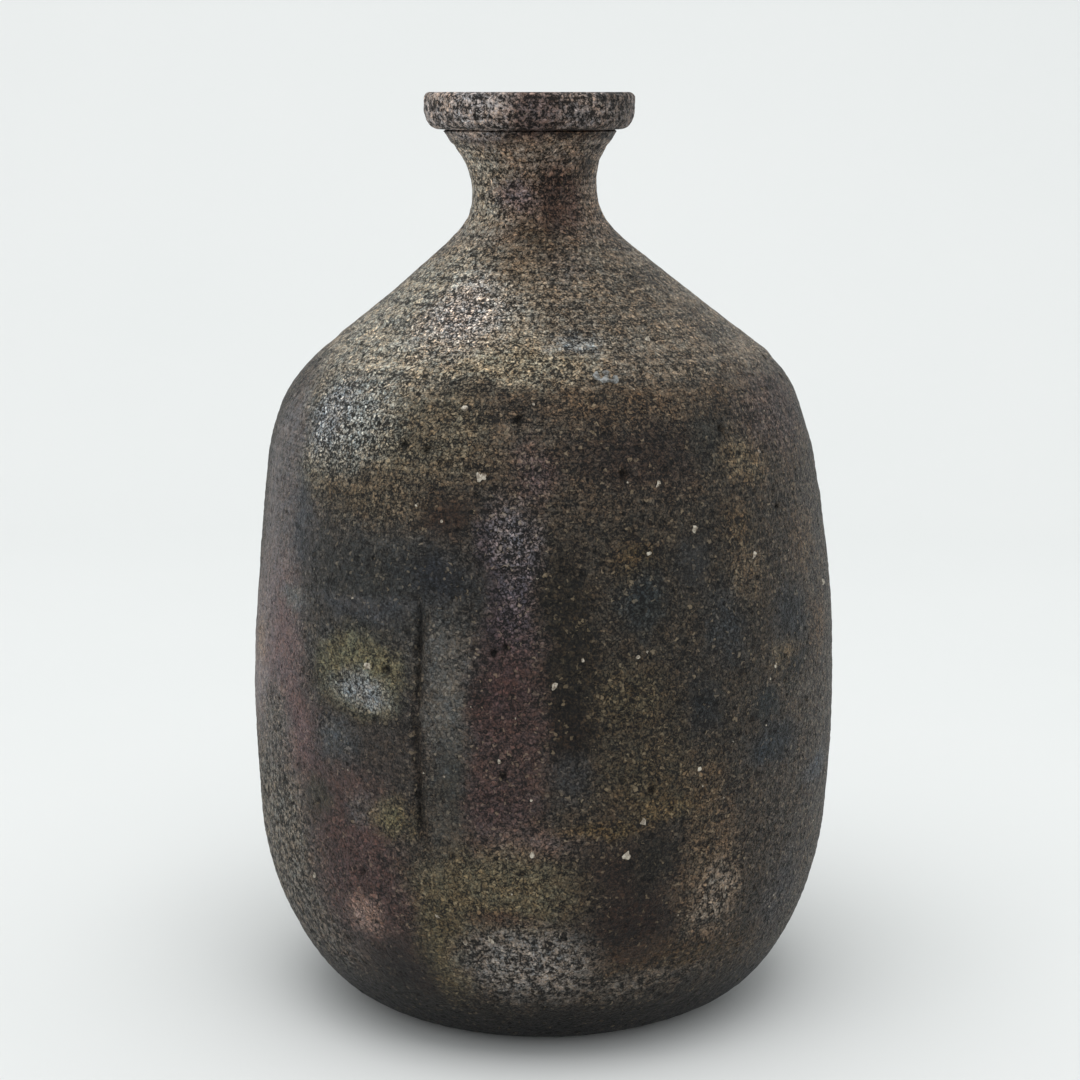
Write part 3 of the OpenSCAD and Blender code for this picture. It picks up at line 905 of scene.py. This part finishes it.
chance = random.Random(11)
grit_places = SEATED_GRITS + SMALL_GRITS
for _ in range(SCATTERED):
    grit_places.append((chance.uniform(-180, 180), chance.uniform(9, 104), chance.uniform(0.22, 0.45)))
walls = [lower_wall, upper_wall, shoulder_turn, shoulder]
# A distance from the middle line that is clear of the widest clay, in metres.
OUTSIDE_IT_ALL = 0.06


def on_skin(azimuth, z):
    """Where a line in from this side, at this height, meets the clay, and the clay's direction."""
    turn = math.radians(azimuth)
    out = Vector((math.sin(turn), -math.cos(turn), 0.0))
    start = out * OUTSIDE_IT_ALL + Vector((level_at(LEAN, z) * MM, 0.0, z * MM))
    for wall in walls:
        met, place, normal, face = wall.ray_cast(start, -out)
        if met:
            return place, normal
    raise ValueError("no clay at azimuth %g, height %g" % (azimuth, z))


def stone(name, base, dark):
    """A pale mineral, slightly glossy, clouded and stained in its cracks."""
    material, tree, shader = new_material(name)
    spot = millimetres(tree)
    cloud = grains(spot, 0.5, 3.0, 0.6, seed=3.0).smooth(0.35, 0.62)
    mixed = new_node(tree, "ShaderNodeMix", {0: cloud, 6: dark, 7: base}, {"data_type": "RGBA"}, out=2)
    tree.links.new(mixed.socket, shader.inputs["Base Color"])
    tree.links.new((cloud * -0.2 + 0.6).socket, shader.inputs["Roughness"])
    relief = grains(spot, 0.3, 2.0, 0.6, seed=4.0)
    bump = new_node(tree, "ShaderNodeBump", {"Height": relief, "Distance": 0.2 * MM, "Strength": 0.6})
    tree.links.new(bump.socket, shader.inputs["Normal"])
    return material


# How far a chip's corners are knocked about, as a share of its size, and how closely they lie.
KNOCK_DEPTH = 0.36
KNOCKS_PER_METRE = 1500.0


def chips():
    """Puts an angular chip on each point, as big as the point's size says."""
    tree, given, leave = new_tree("chips", [
        ("Sink", "Float", 0.3), ("Seed", "Int", 5), ("Stone", "Material", None),
    ])
    ball = new_node(tree, "GeometryNodeMeshIcoSphere", {"Radius": 0.5, "Subdivisions": 2})
    size = new_node(tree, "GeometryNodeInputNamedAttribute", {"Name": "size"}, {"data_type": "FLOAT"})
    normal = new_node(tree, "GeometryNodeInputNamedAttribute", {"Name": "outward"},
                      {"data_type": "FLOAT_VECTOR"})
    turn = new_node(tree, "FunctionNodeRandomValue",
                    {0: (0.0, 0.0, 0.0), 1: (6.3, 6.3, 6.3), "Seed": given["Seed"]},
                    {"data_type": "FLOAT_VECTOR"})
    squeeze = new_node(tree, "FunctionNodeRandomValue",
                       {0: (0.85, 0.7, 0.7), 1: (1.35, 1.1, 1.1), "Seed": given["Seed"] + 1},
                       {"data_type": "FLOAT_VECTOR"})
    full = squeeze.add("ShaderNodeVectorMath", {0: squeeze, "Scale": size * MM}, {"operation": "SCALE"})
    inward = normal.add("ShaderNodeVectorMath",
                        {0: normal, "Scale": size * given["Sink"] * (-0.5 * MM)}, {"operation": "SCALE"})
    points = new_node(tree, "GeometryNodeSetPosition", {0: given["Geometry"], 3: inward})
    set_down = new_node(tree, "GeometryNodeInstanceOnPoints",
                        {"Points": points, "Instance": ball, "Rotation": turn, "Scale": full})
    made = new_node(tree, "GeometryNodeRealizeInstances", {0: set_down})
    place = new_node(tree, "GeometryNodeInputPosition")
    knock = place.add("ShaderNodeTexVoronoi", {"Vector": place, "Scale": KNOCKS_PER_METRE}, out=1)
    knock = knock.add("ShaderNodeVectorMath", {0: knock, 1: (0.5, 0.5, 0.5)}, {"operation": "SUBTRACT"})
    knock = knock.add("ShaderNodeVectorMath", {0: knock, "Scale": size * (KNOCK_DEPTH * MM)},
                      {"operation": "SCALE"})
    made = new_node(tree, "GeometryNodeSetPosition", {0: made, 3: knock})
    made = new_node(tree, "GeometryNodeSetShadeSmooth", {0: made, "Shade Smooth": False})
    made = new_node(tree, "GeometryNodeSetMaterial", {0: made, "Material": given["Stone"]})
    tree.links.new(made.socket, leave.inputs[0])
    return tree


def dotted(name, places):
    """A mesh of bare points on the skin, each with the size and lie of a chip."""
    met = [on_skin(azimuth, z) for azimuth, z, size in places]
    mesh = bpy.data.meshes.new(name)
    mesh.from_pydata([place for place, normal in met], [], [])
    mesh.attributes.new("size", "FLOAT", "POINT").data.foreach_set("value", [p[2] for p in places])
    mesh.attributes.new("outward", "FLOAT_VECTOR", "POINT").data.foreach_set(
        "vector", [c for place, normal in met for c in normal])
    piece = bpy.data.objects.new(name, mesh)
    bpy.context.scene.collection.objects.link(piece)
    return piece


bpy.context.view_layer.update()
feldspar = stone("feldspar", hue(190, 182, 166), hue(108, 96, 82))
chip_tree = chips()
grits = dotted("feldspar_chips", grit_places)
grow(grits, chip_tree, {"Stone": feldspar, "Sink": 0.6})
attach(grits, "root")
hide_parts("feldspar_grits")

# ---------------------------------------------------------------------------------------------
# The kiln flake: a crumb of shelf wash that fell on the shoulder's edge and fused there.

wash = stone("shelf_wash", hue(150, 152, 150), hue(84, 82, 78))
crumbs = [(15, 91.2, 1.9), (16.6, 91.0, 1.5), (13.4, 91.5, 1.2), (15.6, 92.0, 1.0), (17.8, 91.4, 0.8)]
flake = dotted("kiln_crumb", crumbs)
grow(flake, chip_tree, {"Stone": wash, "Seed": 9, "Sink": 0.45})
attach(flake, "root")
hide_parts("kiln_flake")

low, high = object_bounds()
